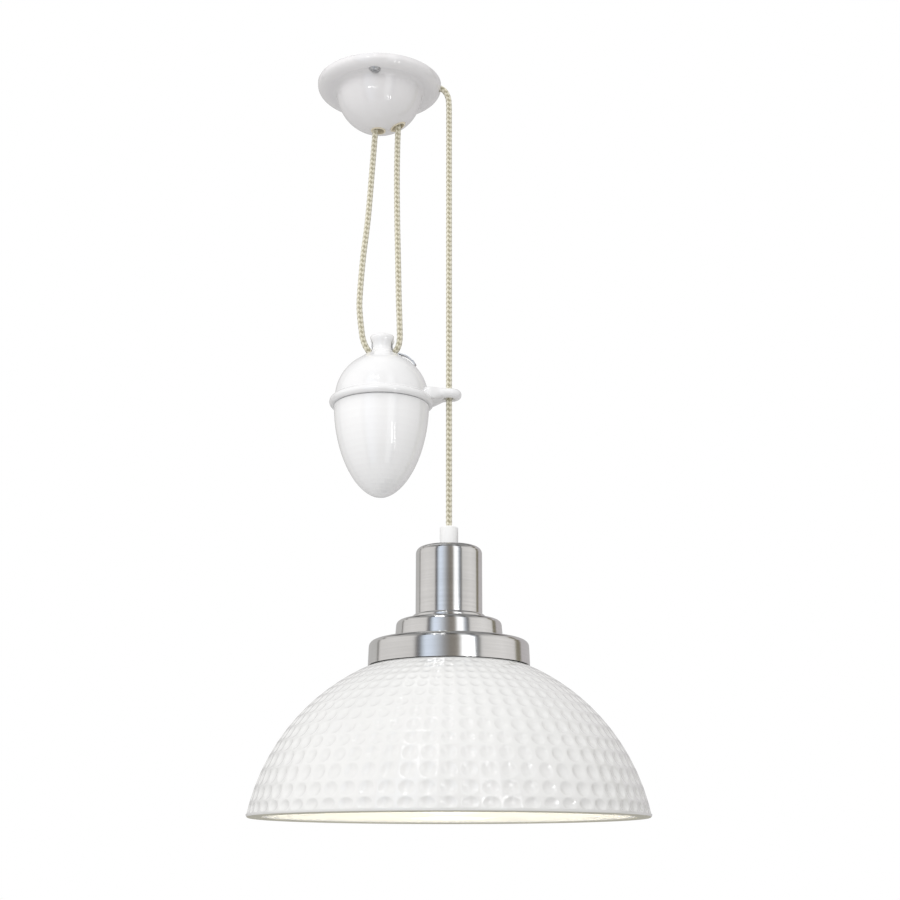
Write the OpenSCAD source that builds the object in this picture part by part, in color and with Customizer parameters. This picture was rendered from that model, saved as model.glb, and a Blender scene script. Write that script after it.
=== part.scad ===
// Rise and fall pendant: a ceiling rose, a ceramic counterweight and a lamp with a dimpled shade,
// all on one cord. Millimetres, +Z up. The origin is on the rose's axis at the ceiling.

/* [Ceiling rose] */
// Diameter of the rose at the ceiling
rose_d = 104.4; // [103:0.2:110]
// Depth of the flange below the ceiling
flange_depth = 8.8; // [8.4:0.1:10]
// Width of the flange's rounded edge
edge_w = 7.2; // [6:0.1:8]
// Thickness of the flange's outer wall
flange_wall = 4; // [3:0.1:4.6]
// Thickness of the ring between the dome and the rounded edge
ring_wall = 3.4; // [2.6:0.1:3.6]
// Radius of the dome
dome_r = 36; // [35.5:0.1:37]
// Depth of the dome's centre below the ceiling
dome_level = 8; // [7.5:0.1:8.5]
// Thickness of the dome
dome_wall = 4; // [3:0.1:4.2]
// Fillet between the dome and the ring
dome_fillet = 4; // [1:0.1:4.5]

/* [Cord] */
// Diameter of the textile cord
cord_d = 5; // [4:0.1:5.4]
// Bore of the bushes under the dome
bush_bore_d = 10; // [9:0.1:10.4]
// Wall of the bushes under the dome
bush_wall = 1.2; // [0.8:0.1:1.6]
// How far a bush stands proud of the ceramic
bush_lip = 0.5; // [0.3:0.1:1]
// Width of the notch where the cord leaves the rose
notch_w = 6.2; // [6:0.1:7]
// Radius at which the cord's centre goes over the ceiling wheel
ceiling_wheel_pitch = 8; // [7.8:0.1:8]
// Radius at which the cord's centre goes round the neck wheel
neck_wheel_pitch = 10; // [9.8:0.1:10]

/* [Bracket and fixings] */
// Thickness of the steel bracket
bracket_t = 1.5; // [1:0.1:1.6]
// Width of the bracket's strap
strap_w = 16; // [14:0.5:17]
// Distance of each rose screw from the middle
screw_reach = 41; // [40.6:0.1:41.6]
// Diameter of the rose screws
screw_d = 4; // [3:0.1:4.2]
// Diameter of the cup washers
cup_d = 9.4; // [8.6:0.1:9.8]
// Distance between the two ceiling holes
ceiling_spacing = 48; // [46:0.5:50]
// Width of the ceiling holes' slots
slot_w = 4.5; // [4:0.1:5]
// Length of the ceiling holes' slots
slot_l = 12; // [9:0.5:13]
// Diameter of both wheels' axles
axle_d = 3; // [2.6:0.1:3.2]

/* [Counterweight] */
// Distance of the counterweight's axis from the rose's
weight_x = 5; // [4.9:0.1:5.1]
// Height of the bead's middle, below the ceiling
bead_drop = 283.5; // [283:0.1:284]
// Outer radius of the cap
cap_r = 37.5; // [37:0.1:39]
// Height of the cap's centre above the bead's middle
cap_rise = 3.5; // [3:0.1:4]
// Thickness of the counterweight's ceramic
weight_wall = 4; // [3.4:0.1:4.4]
// Radius of the bead's rounding
bead_r = 3.5; // [3:0.1:4]
// Largest radius of the egg
egg_r = 38; // [37.5:0.1:39]
// Length of the egg below the bead's middle
egg_l = 78; // [74:0.5:84]
// Radius of the lip round the neck
neck_r = 10.7; // [10.3:0.1:11]
// Height of the neck above the cap's crown
neck_h = 15.5; // [15:0.1:17]
// Width of the slot across the neck
neck_slot = 9.4; // [9.2:0.1:10]
// Outer diameter of the guide eye
eye_d = 20; // [18:0.5:22]
// Bore of the guide eye
eye_bore = 8; // [7:0.1:9]
// Height of the guide eye
eye_h = 8; // [6.4:0.1:9]
// Height of the guide eye's middle above the bead's
eye_rise = 5; // [3:0.1:6]
// Fillet between the cap and the bead
bead_fillet = 2.5; // [1:0.1:4]

/* [Lamp] */
// Distance of the lamp's axis from the rose's
lamp_x = 59; // [58.9:0.1:59.1]
// Height from the ceiling down to the shade's rim
lamp_drop = 607.1; // [560:0.1:660]
// Diameter of the shade at its rim
rim_d = 300; // [270:1:336]
// Upright radius of the shade's outer curve
shade_r = 152.5; // [136:0.1:168]
// How far the centre of the shade's curve lies below the rim
rim_sink = 27.5; // [20:0.5:34]
// Thickness of the shade
shade_wall = 4; // [3.5:0.1:5]
// Width of the shade's rim seen from below
rim_face = 13.5; // [10:0.1:16]
// Height over which the rim thins to the shade's wall
rim_taper = 14; // [10:0.5:18]
// Number of dimples in a row
dimple_columns = 66; // [48:2:68]
// Number of rows of dimples
dimple_rows = 14; // [10:1:15]
// Depth of the largest dimples
dimple_depth = 1.3; // [0.8:0.1:1.6]
// Width of the plain band above the rim
rim_band = 1.4; // [1:0.1:4]
// Radius of the collar at its foot
collar_r = 61.9; // [58:0.1:64]
// Height of the collar
collar_h = 19; // [17:0.1:22]
// Radius of the step ring
step_r = 41.6; // [38:0.1:43]
// Height of the step ring
step_h = 16; // [14:0.1:19]
// Radius of the lamp cover
cover_r = 25.75; // [25:0.05:27]
// Height of the lamp cover
cover_h = 57.5; // [55:0.1:60]
// Thickness of the spun metal
metal_t = 1.4; // [1:0.1:2]
// Radius of the cord grip
grip_r = 7.2; // [6.8:0.1:8]
// Height of the cord grip
grip_h = 16.5; // [14:0.1:19]
// Outer radius of the lampholder's threaded skirt
skirt_r = 20; // [19.6:0.1:20.6]
// Largest radius of the bulb's glass
bulb_r = 30; // [27:0.5:32]
// Length of the bulb from contact to tip
bulb_l = 106; // [98:1:112]

/* [Clearances] */
// Radial clearance of a wheel on its axle
axle_gap = 0.05; // [0.02:0.01:0.08]
// Clearance between parts that pass each other
gap = 0.3; // [0.2:0.05:0.4]
// Clearance between fixed parts that are pushed together
fit = 0.05; // [0.02:0.01:0.1]

/* [Hidden] */
$fn = 64;
small_fn = 24;             // sides of the small rounded shapes
over = 1;                  // how far a cutting shape runs past what it cuts

// Colours
ceramic = [0.95, 0.95, 0.94];
steel = [0.62, 0.63, 0.65];
alloy = [0.80, 0.80, 0.81];
brass = [0.80, 0.64, 0.32];
cord_colour = [0.80, 0.75, 0.60];
lining = [0.76, 0.68, 0.52];
moulding = [0.93, 0.93, 0.92];
iron = [0.30, 0.30, 0.32];
glass = [0.98, 0.96, 0.88];

cord_r = cord_d / 2;
rose_r = rose_d / 2;
rim_r = rim_d / 2;

// Inside of the rose
dome_bore = dome_r - dome_wall;
ring_recess = 0.6;
ring_z = -flange_depth + ring_recess;
floor_z = ring_z + ring_wall;
edge_foot_r = rose_r - edge_w;
edge_top = -3;
edge_round = 0.5;
bush_r = bush_bore_d / 2 + bush_wall;
notch_z = -3.9;
notch_r = notch_w / 2;

// Fixings of the rose
screw_x = -2;
screw_gap = 1;
cup_t = 1.3;
cup_top = ring_z + 0.4;
cup_taper = 1.4;
cup_gap = 0.6;
head_t = 1.1;
head_low_d = 5.4;
head_d = 7;
slot_t = 0.8;
screw_end = -1;

// Bracket: its strap, its plate and what they carry
strap_end = 46;
strap_step = 34;
strap_gap = 0.2;
strap_z = floor_z + strap_gap;
plate_x0 = -27;
plate_x1 = 30;
plate_w = 26;
plate_slot_x = 12;
plate_slot_w = 7;
cable_x = -6.5;
cable_r = 4;
cheek_in = 4.6;
cheek_t = 1.2;
cheek_r = 5.4;
leg_x = -0.5;
leg_foot = -28;
leg_w = 14;

// Clamp that holds the lead
clamp_x0 = -8.2;
clamp_z = -24.5;
clamp_h = 6;
clamp_cord_x = -3.2;
clamp_screw_r = 1.25;
clamp_screw_y = 5;
clamp_head_r = 1.9;
clamp_head_t = 1.6;
clamp_screw_end = 2.5;

// Terminal block
block_x0 = -26.5;
block_x1 = -12.5;
block_w = 18;
block_h = 11;
block_foot = -bracket_t - block_h;
pole_pitch = 6;
pole_d = 4;
pole_depth = 4.5;
wire_d = 3.4;
wire_depth = 6;
wire_z = -bracket_t - 5;
block_gap_w = 0.8;
block_gap_h = 3;
terminal_screw_d = 3.6;
terminal_screw_h = 2.5;
terminal_slot_w = 0.6;
terminal_slot_h = 0.7;

// Where the cord goes over the two wheels
left_hole_x = -0.7;
right_hole_x = 15.9;
run_z = -3.3;
loop_z = -246.5;
ceiling_wheel_x = right_hole_x + ceiling_wheel_pitch;
ceiling_wheel_z = run_z - ceiling_wheel_pitch;
neck_wheel_z = loop_z + neck_wheel_pitch;
ceiling_wheel_w = 7.8;
ceiling_rim = 0.7;
neck_wheel_w = 6.5;
neck_rim = 1.4;
axle_head_r = 2.4;
axle_head_t = 0.8;
axle_play = 0.1;

// Counterweight
bead_z = -bead_drop;
cap_z = bead_z + cap_rise;
crown_z = cap_z + cap_r;
neck_top = crown_z + neck_h;
seam_z = bead_z - bead_r + 0.5;
bead_ring_r = cap_r + 0.8;
cap_bore = cap_r - weight_wall;
spigot_h = 5;
spigot_bore = cap_bore - weight_wall + 1;
egg_tip = bead_z - egg_l;
egg_top = bead_z - bead_r;
egg_lip = 0.4;
eye_x = lamp_x - weight_x;
eye_z = bead_z + eye_rise;
eye_t = (eye_d - eye_bore) / 2;
arm_foot_w = 17;
arm_end_w = 4;
arm_end_r = 2.9;
slot_end = neck_wheel_pitch + cord_r + 1.5;
slot_foot = loop_z - cord_r - 2.5;
boss_r = 17;
boss_foot = crown_z - 13.5;
yoke_t = 1;
yoke_gap = 6.9;
yoke_foot = slot_foot + 0.1;
yoke_cheek_r = 4.2;
yoke_l = 10;
stem_r = 2.5;
stem_depth = 22;
stem_bore_depth = 24;
stem_nut_w = 8;
stem_nut_t = 4;
ballast_top = seam_z - 2;
ballast_gap = 2;
strip_w = 5;
strip_t = 1;
strip_turn = -10;
strip_from = 70;
strip_to = 44;
strip_arch = 1.2;
strip_seat = 1.2;
rib_count = 4;
rib_step = 1.6;
rib_h = 0.4;

// Neck with a rounded lip, a waist and a flare onto the cap, as [radius less neck_r, fall below the top]
neck_profile = [[-2.4, 0], [-0.9, 0.7], [-0.2, 1.9], [0, 3.1], [-0.4, 4.6], [-1.3, 6.6], [-2, 8.8],
    [-2.2, 11], [-1.7, 13], [-0.3, 14.9], [2, 16.4], [4.8, 18], [7.3, 19.9], [8.8, 21.2]];

// Heights down the lamp
rim_z = -lamp_drop;
shade_z = rim_z - rim_sink;
level_r = rim_r / sqrt(1 - pow(rim_sink / shade_r, 2));
collar_foot = shade_height(collar_r - metal_t) + gap;
collar_top = collar_foot + collar_h;
step_top = collar_top + step_h;
cover_top = step_top + cover_h;
grip_top = cover_top + grip_h;
contact_z = step_top - 11;
holder_top = cover_top - 16;
cord_foot = cover_top - 15.5;

// Shade: its curve, its crown and its dimples
crown_r = 32;
crown_t = 4.6;
shade_crown = shade_height(crown_r);
bore_r = skirt_r + gap;
dimple_margin = 2.3;
row_shrink = 0.16;
scoop_share = 0.62;
crown_steps = 3;
inner_steps = 8;
rim_angle = asin(rim_sink / shade_r);
band_angle = asin((rim_sink + rim_band) / shade_r);
collar_angle = acos((collar_r + dimple_margin) / level_r);
crown_angle = acos(crown_r / level_r);
inner_top = acos(crown_r / (level_r - shade_wall));
inner_foot = asin((rim_sink + rim_taper) / (shade_r - shade_wall));

// Spun metal
cover_corner = 5;
cover_foot_r = 2.25;
step_corner = 4;
step_flare = 1;
collar_corner = 4.5;
collar_flare = 0.5;

// Cord grip and its nut
stem_hole_r = 5;
grip_stem = 11;
grip_chamfer = 1;
groove_w = 1;
groove_depth = 1.2;
groove_turn = -25;
grip_nut_w = 14;
grip_nut_t = 3;

// Lampholder
skirt_l = 18;
skirt_foot = shade_crown - skirt_l;
cup_r = 14.6;
holder_r = skirt_r - 1;
holder_neck_r = skirt_r - 6;
holder_round = 4;
shoulder_h = 6;
wiring_foot = step_top + 2;
wiring_top = holder_top - 6;
wiring_r = cup_r + 1;
insert_hole_r = cup_r - 3;
insert_bore = 3.2;
insert_foot = contact_z + 3;
shell_t = 0.85;
shell_foot = skirt_foot + 3;
contact_r = 3;
contact_t = 1;
contact_pin_r = 1.5;
contact_pin_top = step_top + 3;
spacer_r = crown_r - 2;
gasket_r = crown_r - 3;
gasket_t = 1;
gasket_foot = shade_crown - crown_t - gasket_t;
ring_r = crown_r - 4;
ring_t = 6;
ring_grip_r = 1.5;
ring_grips = 12;

// Bulb
cap_top_r = 13.3;
cap_shell = 0.6;
cap_straight = 20;
cap_cone = 5;
cap_tip_r = 5;
cap_end_r = 4.5;
glass_wall = 1;
glass_top = contact_z - 27;
glass_neck_h = 4;
glass_neck_r = cap_top_r - cap_shell - fit;
glass_shoulder = 35;

// The cord's routes as [x, z], chosen by hand. All of them lie in the plane y = 0.
hang_top = -45;
loop_top = -222;
lamp_run_top = -22;
lead_route = [[-12.5, -7.5], [-8, -8.8], [-4.6, -12.6], [clamp_cord_x, -18], [clamp_cord_x, -31],
    [clamp_cord_x, hang_top]];
left_route = [[clamp_cord_x, hang_top], [-5.9, -89], [-8.3, -125], [-11.8, -160], [-14, -195],
    [-13.4, -210], [-12, loop_top]];
loop_route = [[-12, loop_top], [-11, -228.5], [-8.9, -234.8], [-5.8, -239.9], [-2.1, -243.6],
    [1.2, -245.7], [weight_x, loop_z], [8.8, -245.7], [12.1, -243.6], [15.8, -239.9], [18.2, -234.8],
    [19.1, -228.5], [19, loop_top]];
right_route = [[19, loop_top], [18.6, -210], [18, -195], [17.2, -165], [16.1, -125], [15.5, -89],
    [15.6, -60], [right_hole_x, hang_top]];
rose_route = [[right_hole_x, hang_top], [right_hole_x, -28], [right_hole_x, ceiling_wheel_z],
    [17, -7.3], [19.9, -4.4], [ceiling_wheel_x, run_z], [35, run_z], [48, run_z], [51.8, -4],
    [55, -6.3], [57.3, -10], [58.6, -15], [lamp_x, lamp_run_top]];
lamp_route = [[lamp_x, lamp_run_top], [lamp_x, grip_top]];
holder_route = [[lamp_x, grip_top], [lamp_x, cord_foot]];
// Longest straight step of a cord's tube, and its number of sides
ring_step = 17;
cord_sides = 10;

// Points on an arc, angles in degrees
function arc(x, z, r, from, to, n) = [for (i = [0:n]) let (a = from + (to - from) * i / n)
    [x + r * cos(a), z + r * sin(a)]];

// Point where a circle round a and a circle round b meet, on the left of the way from a to b
function meeting(a, ra, b, rb) = let (d = norm(b - a), u = (b - a) / d)
    let (along = (ra * ra - rb * rb + d * d) / (2 * d))
    a + along * u + sqrt(ra * ra - along * along) * [-u[1], u[0]];

// Radius of the egg at a fraction of its length, 0 at the bead and 1 at the tip
function egg_radius(t) = egg_r * pow(1 - pow(t, 1.85), 0.53);
// Profile of the egg from the bead to the tip, drawn in by a wall
function egg_profile(wall, top) = [for (i = [0:20]) let (t = sin(90 * i / 20))
    let (z = min(top, egg_top - (egg_top - egg_tip - wall) * t))
    [max(0, egg_radius(min(1, (egg_top - z) / (egg_top - egg_tip - wall))) - wall * (1 - t * t)), z]];

// Smooth curve through the points of a route, with no step longer than ring_step
function spline(a, b, c, d, t) = 0.5 * (2 * b + (c - a) * t + (2 * a - 5 * b + 4 * c - d) * t * t
    + (3 * b - a - 3 * c + d) * t * t * t);
function smooth(p) = concat([for (i = [0:len(p) - 2])
    let (a = i > 0 ? p[i - 1] : 2 * p[0] - p[1], d = i < len(p) - 2 ? p[i + 2] : 2 * p[i + 1] - p[i])
    let (n = max(1, ceil(norm(p[i + 1] - p[i]) / ring_step)))
    for (k = [0:n - 1]) spline(a, p[i], p[i + 1], d, k / n)], [p[len(p) - 1]]);

// Tube along a route in the plane y = 0
module cord(route) {
    p = smooth(route);
    n = len(p);
    s = cord_sides;
    rings = [for (i = [0:n - 1])
        let (d = p[min(i + 1, n - 1)] - p[max(i - 1, 0)])
        // both ends are cut square to X or Z, so that two cords meet face to face
        let (square = abs(d[0]) > abs(d[1]) ? [sign(d[0]), 0] : [0, sign(d[1])])
        let (t = i > 0 && i < n - 1 ? d / norm(d) : square)
        for (k = [0:s - 1]) let (a = 360 * k / s)
            [p[i][0] - t[1] * cord_r * cos(a), cord_r * sin(a), p[i][1] + t[0] * cord_r * cos(a)]];
    sides = [for (i = [0:n - 2], k = [0:s - 1]) let (a = i * s + k, b = i * s + (k + 1) % s)
        each [[a, b, b + s], [a, b + s, a + s]]];
    first = [for (k = [0:s - 1]) s - 1 - k];
    last = [for (k = [0:s - 1]) (n - 1) * s + k];
    polyhedron(rings, concat([first, last], sides));
}

// Cylinder between two heights
module post(r, low, high) { translate([0, 0, low]) cylinder(r = r, h = high - low); }

// Ring between two radii and two heights
module ring(outer, inner, low, high) {
    difference() {
        post(outer, low, high);
        post(inner, low - over, high + over);
    }
}

// Spun metal cup, open below, with a rounded shoulder and a hole in its top
module spun_cup(r, foot_r, top, foot, shoulder, hole_r) {
    rotate_extrude() polygon(concat(
        [[hole_r, top]],
        arc(r - shoulder, top - shoulder, shoulder, 90, 0, 6),
        [[foot_r, foot], [foot_r - metal_t, foot]],
        arc(r - shoulder, top - shoulder, shoulder - metal_t, 0, 90, 6),
        [[hole_r, top - metal_t]]));
}

// Grooved wheel for the cord, its axis along Y
module wheel(pitch, flange_r, width) {
    bore = axle_d / 2 + axle_gap;
    rotate([90, 0, 0]) rotate_extrude() difference() {
        translate([bore, -width / 2]) square([flange_r - bore, width]);
        translate([pitch, 0]) circle(r = cord_r + gap);
    }
}

// Hexagonal nut
module hex_nut(flats, bore_r, low, t) {
    difference() {
        translate([0, 0, low]) cylinder(r = flats / 2 / cos(30), h = t, $fn = 6);
        post(bore_r, low - over, low + t + over);
    }
}

module at_weight() { translate([weight_x, 0, 0]) children(); }
module at_lamp() { translate([lamp_x, 0, 0]) children(); }
// Both rose screws, in front and behind
module at_screws() { for (s = [-1, 1]) translate([screw_x, s * screw_reach, 0]) children(); }
module at_clamp_screws() {
    for (s = [-1, 1]) translate([0, s * clamp_screw_y, clamp_z]) rotate([0, 90, 0]) children();
}
module at_ceiling_wheel() {
    translate([ceiling_wheel_x, 0, ceiling_wheel_z]) rotate([90, 0, 0]) children();
}

/* Ceiling rose */

// Outside of the rose in section: the dome, a fillet, a ring that falls softly, and the rounded edge
module rose_section() {
    fillet_z = ring_z - dome_fillet;
    fillet_r = sqrt(pow(dome_r + dome_fillet, 2) - pow(fillet_z + dome_level, 2));
    polygon(concat(
        [[0, 0], [0, ring_z]],
        [for (i = [0:6]) let (t = i / 6)
            [fillet_r + (edge_foot_r - fillet_r) * t, ring_z - ring_recess * (1 - cos(180 * t)) / 2]],
        [for (i = [1:10]) let (a = 9 * i)
            [edge_foot_r + edge_w * sin(a), edge_top - (flange_depth + edge_top) * cos(a)]],
        [[rose_r, -edge_round], [rose_r - edge_round, 0]]));
    intersection() {
        translate([0, -dome_level]) circle(r = dome_r);
        translate([0, -dome_level - dome_r]) square(dome_r);
    }
    difference() {
        polygon([[0, -dome_level], [fillet_r, fillet_z], [fillet_r, floor_z], [0, floor_z]]);
        translate([fillet_r, fillet_z]) circle(r = dome_fillet);
    }
}

module rose() {
    color(ceramic) difference() {
        rotate_extrude() rose_section();
        // hollow of the dome and of the flange
        translate([0, 0, -dome_level]) sphere(r = dome_bore);
        post(dome_bore, -dome_level, over);
        post(rose_r - flange_wall, floor_z, over);
        // lined holes for the two hanging runs
        for (x = [left_hole_x, right_hole_x])
            translate([x, 0, 0]) post(bush_r + fit, -dome_r - dome_level - over, -dome_level - over);
        // channel and notch for the run that leaves at the edge
        translate([dome_bore - over, -notch_r, notch_z]) cube([rose_r, notch_w, over - notch_z]);
        translate([dome_bore - over, 0, notch_z]) rotate([0, 90, 0]) cylinder(r = notch_r, h = rose_r);
        // holes for the rose screws, with a seat for each cup
        at_screws() post((screw_d + screw_gap) / 2, cup_top - over, over);
        at_screws() post(cup_d / 2 + gap, -flange_depth - dome_fillet - over, cup_top);
    }
}

module rose_bushes() {
    color(lining) intersection() {
        for (x = [left_hole_x, right_hole_x])
            translate([x, 0, 0]) ring(bush_r, bush_bore_d / 2, -dome_r - dome_level - over, -dome_level);
        translate([0, 0, -dome_level]) difference() {
            sphere(r = dome_r + bush_lip);
            sphere(r = dome_bore - bush_lip);
        }
    }
}

module screw_cups() {
    color(steel) at_screws() difference() {
        translate([0, 0, cup_top - cup_t]) cylinder(d1 = cup_d - cup_taper, d2 = cup_d, h = cup_t);
        post((screw_d + cup_gap) / 2, cup_top - cup_t - over, cup_top + over);
    }
}

module fixing_screws() {
    head_z = cup_top - cup_t - head_t;
    color(steel) at_screws() difference() {
        union() {
            translate([0, 0, head_z]) cylinder(d1 = head_low_d, d2 = head_d, h = head_t);
            post(screw_d / 2, head_z + head_t, screw_end);
        }
        // cross recess
        for (a = [45, 135])
            rotate([0, 0, a]) translate([0, 0, head_z]) cube([screw_d, slot_t, head_t], center = true);
    }
}

module bracket_strap() {
    translate([screw_x - strap_w / 2, -strap_step, -bracket_t]) cube([strap_w, 2 * strap_step, bracket_t]);
    // its ends step down onto the ceramic
    for (s = [0, 1]) mirror([0, s, 0]) translate([screw_x - strap_w / 2, strap_step - bracket_t, strap_z]) {
        cube([strap_w, bracket_t, -strap_z]);
        cube([strap_w, strap_end - strap_step + bracket_t, bracket_t]);
    }
}

module wheel_cheek() {
    cylinder(r = cheek_r, h = cheek_t, center = true);
    translate([-cheek_r, 0, -cheek_t / 2]) cube([2 * cheek_r, -ceiling_wheel_z, cheek_t]);
}

module ceiling_bracket() {
    through = bracket_t + 2 * over;
    color(steel) difference() {
        union() {
            bracket_strap();
            // plate that carries the terminals and the wheel
            translate([plate_x0, -plate_w / 2, -bracket_t]) cube([plate_x1 - plate_x0, plate_w, bracket_t]);
            at_ceiling_wheel() for (s = [-1, 1])
                translate([0, 0, s * (cheek_in + cheek_t / 2)]) wheel_cheek();
            // leg that the cord is clamped to
            translate([leg_x, -leg_w / 2, leg_foot]) cube([bracket_t, leg_w, -leg_foot]);
        }
        // slot that the cord passes through
        translate([plate_slot_x, -plate_slot_w / 2, -bracket_t - over])
            cube([plate_x1, plate_slot_w, through]);
        // entry for the supply cable
        translate([cable_x, 0, -bracket_t - over]) cylinder(r = cable_r, h = through);
        // slotted ceiling holes
        for (s = [-1, 1]) translate([screw_x, s * ceiling_spacing / 2, -bracket_t - over]) {
            for (e = [-1, 1])
                translate([0, e * (slot_l - slot_w) / 2, 0]) cylinder(d = slot_w, h = through);
            translate([-slot_w / 2, -(slot_l - slot_w) / 2, 0]) cube([slot_w, slot_l - slot_w, through]);
        }
        // tapped holes for the rose screws
        at_screws() post(screw_d / 2 + fit, strap_z - over, over);
        // holes for the axle and the clamp screws
        at_ceiling_wheel() cylinder(d = axle_d + 2 * fit, h = plate_w, center = true);
        at_clamp_screws() cylinder(r = clamp_screw_r + fit, h = plate_w, center = true);
    }
}

module ceiling_wheel() {
    color(alloy) translate([ceiling_wheel_x, 0, ceiling_wheel_z])
        wheel(ceiling_wheel_pitch, ceiling_wheel_pitch - ceiling_rim, ceiling_wheel_w);
}

// Pin with a low head at each end
module ceiling_axle() {
    half = cheek_in + cheek_t + axle_play / 2;
    color(steel) at_ceiling_wheel() {
        cylinder(d = axle_d, h = 2 * half, center = true);
        for (s = [0, 1]) mirror([0, 0, s]) post(axle_head_r, half, half + axle_head_t);
    }
}

module clamp_saddle() {
    groove = cord_r + fit;
    color(moulding) difference() {
        translate([clamp_x0, -leg_w / 2, clamp_z - clamp_h / 2])
            cube([leg_x - fit - clamp_x0, leg_w, clamp_h]);
        translate([clamp_cord_x, 0, clamp_z - clamp_h]) cylinder(r = groove, h = 2 * clamp_h);
        translate([clamp_cord_x, -groove, clamp_z - clamp_h]) cube([2 * groove, 2 * groove, 2 * clamp_h]);
        at_clamp_screws() cylinder(r = clamp_screw_r + fit, h = plate_w, center = true);
    }
}

module clamp_screws() {
    color(steel) at_clamp_screws() {
        post(clamp_head_r, clamp_x0 - clamp_head_t, clamp_x0);
        post(clamp_screw_r, clamp_x0, clamp_screw_end);
    }
}

module terminal_block() {
    middle = (block_x0 + block_x1) / 2;
    color(moulding) difference() {
        translate([block_x0, -block_w / 2, block_foot]) cube([block_x1 - block_x0, block_w, block_h]);
        for (i = [-1, 0, 1]) translate([0, i * pole_pitch, 0]) {
            translate([block_x0 - over, 0, wire_z]) rotate([0, 90, 0]) cylinder(d = wire_d, h = wire_depth);
            translate([middle, 0, 0]) post(pole_d / 2, block_foot - over, block_foot + pole_depth - over);
        }
        // gaps between the three poles
        for (i = [-0.5, 0.5])
            translate([block_x0 - over, i * pole_pitch - block_gap_w / 2, block_foot - over])
                cube([block_x1 - block_x0 + 2 * over, block_gap_w, block_gap_h]);
    }
}

module terminal_screws() {
    color(brass) for (i = [-1, 0, 1])
        translate([(block_x0 + block_x1) / 2, i * pole_pitch, block_foot + over]) difference() {
            cylinder(d = terminal_screw_d, h = terminal_screw_h);
            cube([pole_d, terminal_slot_w, 2 * terminal_slot_h], center = true);
        }
}

module lead_cord() { color(cord_colour) cord(lead_route); }
module rose_cord() { color(cord_colour) cord(rose_route); }
module left_cord() { color(cord_colour) cord(left_route); }
module right_cord() { color(cord_colour) cord(right_route); }
module lamp_cord() { color(cord_colour) cord(lamp_route); }
module loop_cord() { color(cord_colour) cord(loop_route); }
module holder_cord() { color(cord_colour) cord(holder_route); }

/* Counterweight */

// The cap in section: its shell, the neck on its crown, and the bead with a fillet up onto the shell
module cap_section() {
    middle = [0, cap_z];
    bead = [bead_ring_r, bead_z];
    fillet = meeting(middle, cap_r + bead_fillet, bead, bead_r + bead_fillet);
    difference() {
        union() {
            intersection() {
                translate(middle) circle(r = cap_r);
                translate(middle) square(cap_r);
            }
            translate([0, seam_z]) square([cap_r, cap_z - seam_z]);
            polygon(concat([[0, boss_foot], [0, neck_top]],
                [for (p = neck_profile) [neck_r + p[0], neck_top - p[1]]], [[boss_r, boss_foot]]));
            translate(bead) circle(r = bead_r, $fn = 32);
            difference() {
                polygon([middle, bead, fillet]);
                translate(fillet) circle(r = bead_fillet, $fn = 32);
            }
        }
        cap_hollow_section();
    }
}

// What is cut away inside the cap and below its seam
module cap_hollow_section() {
    translate([0, cap_z]) circle(r = cap_bore);
    translate([0, seam_z]) square([cap_bore, cap_z - seam_z]);
    translate([0, seam_z - 2 * bead_r]) square([2 * cap_r, 2 * bead_r]);
}

// Arm that runs out from the bead, level on top and drawn in below, to the eye round the lamp's cord
module guide_arm() {
    hull() for (s = [-1, 1]) {
        translate([bead_ring_r - bead_r, s * arm_foot_w / 2, bead_z]) sphere(r = bead_r, $fn = small_fn);
        translate([eye_x - eye_d / 2 + arm_end_r, s * arm_end_w / 2, eye_z])
            sphere(r = arm_end_r, $fn = small_fn);
    }
    translate([eye_x, 0, eye_z]) rotate_extrude() translate([(eye_d - eye_t) / 2, 0]) {
        for (s = [-1, 1]) translate([0, s * (eye_h - eye_t) / 2]) circle(d = eye_t, $fn = 32);
        square([eye_t, eye_h - eye_t], center = true);
    }
}

module counterweight_cap() {
    color(ceramic) at_weight() difference() {
        union() {
            rotate_extrude() cap_section();
            difference() {
                guide_arm();
                post(cap_bore + over, seam_z - over, cap_z);
                post(2 * cap_r, seam_z - 2 * bead_r, seam_z);
            }
            // boss that the yoke is clamped to
            intersection() {
                post(boss_r, boss_foot, crown_z);
                translate([0, 0, cap_z]) sphere(r = cap_r - weight_wall / 2);
            }
        }
        // slot for the wheel and the loop of cord
        translate([-slot_end, -neck_slot / 2, slot_foot])
            cube([2 * slot_end, neck_slot, neck_top - slot_foot + over]);
        post(stem_r + fit, boss_foot - over, slot_foot + over);
        translate([eye_x, 0, 0]) post(eye_bore / 2, eye_z - eye_d, eye_z + eye_d);
    }
}

module counterweight_egg() {
    top = seam_z - fit;
    inside = seam_z - over;
    color(ceramic) at_weight() difference() {
        union() {
            rotate_extrude() polygon(concat([[0, top], [egg_r - egg_lip, top]], egg_profile(0, top)));
            // spigot that centres the cap
            post(cap_bore - gap / 2, inside, seam_z + spigot_h);
        }
        post(spigot_bore, inside - over, seam_z + spigot_h + over);
        rotate_extrude() polygon(concat([[0, inside]], egg_profile(weight_wall, inside)));
    }
}

module ballast() {
    color(iron) at_weight() difference() {
        union() {
            rotate_extrude()
                polygon(concat([[0, ballast_top]], egg_profile(weight_wall + gap / 2, ballast_top)));
            // the part that stands up into the cap, inside the egg's spigot
            intersection() {
                translate([0, 0, cap_z]) sphere(r = cap_bore - gap);
                post(spigot_bore - gap, ballast_top - over, boss_foot - stem_nut_t - ballast_gap);
            }
        }
        post(stem_r + fit, ballast_top - stem_bore_depth, cap_z + cap_r);
    }
}

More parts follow.
